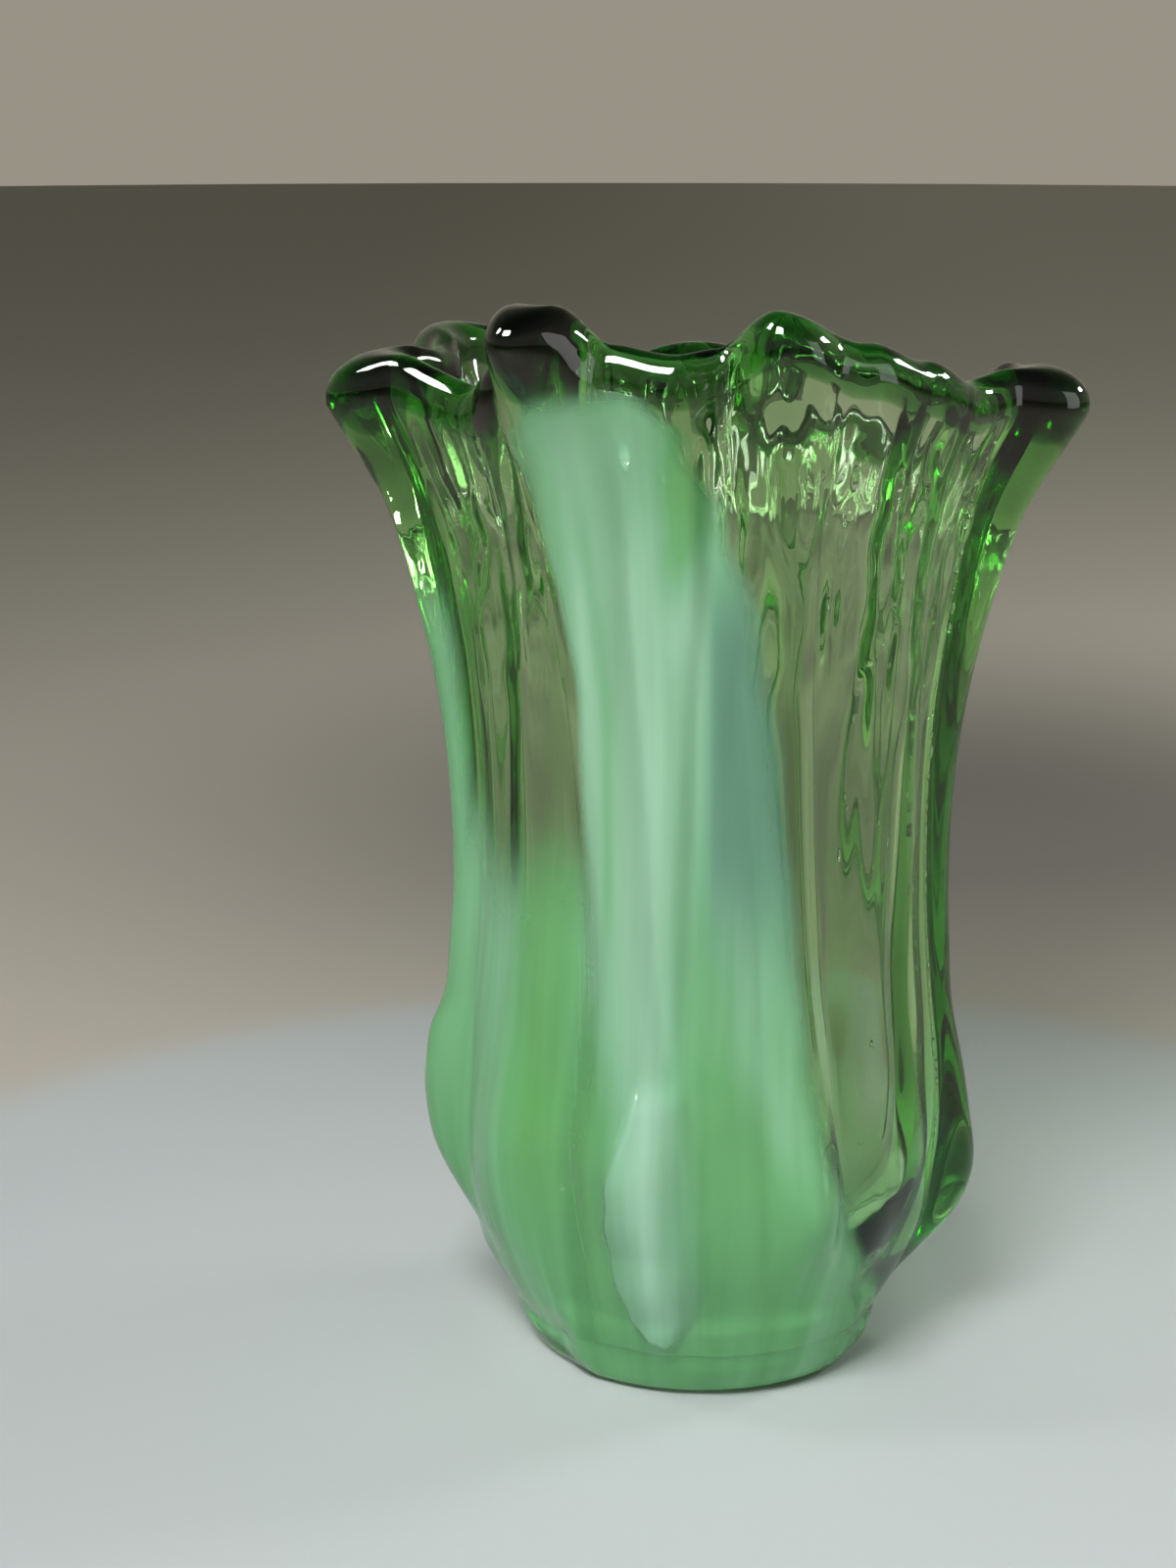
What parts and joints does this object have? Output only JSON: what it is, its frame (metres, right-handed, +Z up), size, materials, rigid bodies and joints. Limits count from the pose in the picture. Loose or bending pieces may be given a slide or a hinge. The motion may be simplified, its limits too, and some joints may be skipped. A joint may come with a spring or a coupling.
{
  "type": "art glass vase",
  "caption": "Tall hand blown glass vase in pale green with a milky opal swath, drawn out ribs, a pinched wavy rim with a thick lip and a flat ground foot.",
  "frame": {"origin": "centre of the flat ground foot, on the surface that the vase stands on", "axes": "+Z up the vase, +X to the right ear, -Y towards the opal front"},
  "size_m": [0.1724, 0.1569, 0.257],
  "materials": {
    "pale_green_glass": "fire-polished clear glass with a pale green tint",
    "rib_glass": "thicker green glass, fire-polished, with a few trapped seeds",
    "deep_green_glass": "deep green bead, fire-polished",
    "foot_glass": "heavy clear foot, ground and polished flat underneath",
    "opal_glass": "milky mint opal, streaked, cased between clear layers"
  },
  "bodies": {
    "root": {"base_pad": "foot_glass", "inner_gather": "pale_green_glass", "outer_gather": "pale_green_glass", "opal_tongue": "opal_glass", "opal_skirt": "opal_glass", "rib_left": "rib_glass", "rib_front_left": "rib_glass", "rib_front": "rib_glass", "rib_right": "rib_glass", "rib_back_right": "rib_glass", "rib_back": "rib_glass", "rib_back_left": "rib_glass", "lip_wrap": "deep_green_glass"}
  },
  "joints": []
}
